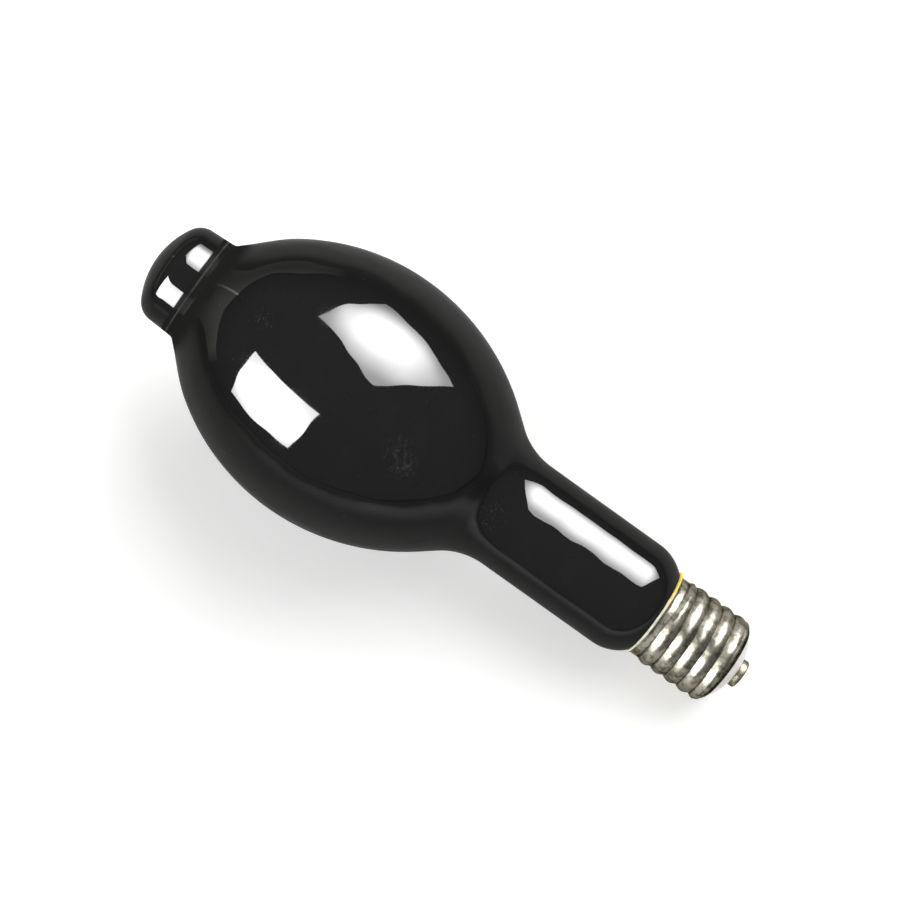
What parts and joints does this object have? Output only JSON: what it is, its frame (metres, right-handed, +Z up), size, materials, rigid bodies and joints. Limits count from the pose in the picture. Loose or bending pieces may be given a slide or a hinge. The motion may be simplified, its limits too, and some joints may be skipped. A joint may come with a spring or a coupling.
{
  "type": "ultraviolet lamp bulb",
  "caption": "black glass bulb with a swollen middle, a domed end cap and a straight neck, cemented in a wide rolled screw base with a button contact",
  "frame": {"origin": "on the floor under the middle of the resting lamp's overall length", "axes": "+Z up; +X along the floor from the domed cap towards the screw base; the lamp's axis lies in the XZ plane and dips 11.9 degrees towards the base"},
  "size_m": [0.2876, 0.1124, 0.114],
  "materials": {
    "black_glass": "blown near-black filter glass, glossy",
    "plated_shell": "nickel-plated brass sheet, bright",
    "cement": "cured basing cement, matt, yellow to cream",
    "white_insulator": "white glazed insulator",
    "plated_contact": "nickel-plated brass, slightly dull",
    "solder": "flowed tin solder, satin",
    "lead_wire": "drawn nickel wire"
  },
  "bodies": {
    "root": {"glass_envelope": "black_glass", "screw_shell": "plated_shell", "basing_cement": "cement", "insulator": "white_insulator", "centre_contact": "plated_contact", "contact_solder": "solder", "side_solder": "solder", "centre_lead": "lead_wire", "side_lead": "lead_wire"}
  },
  "joints": []
}
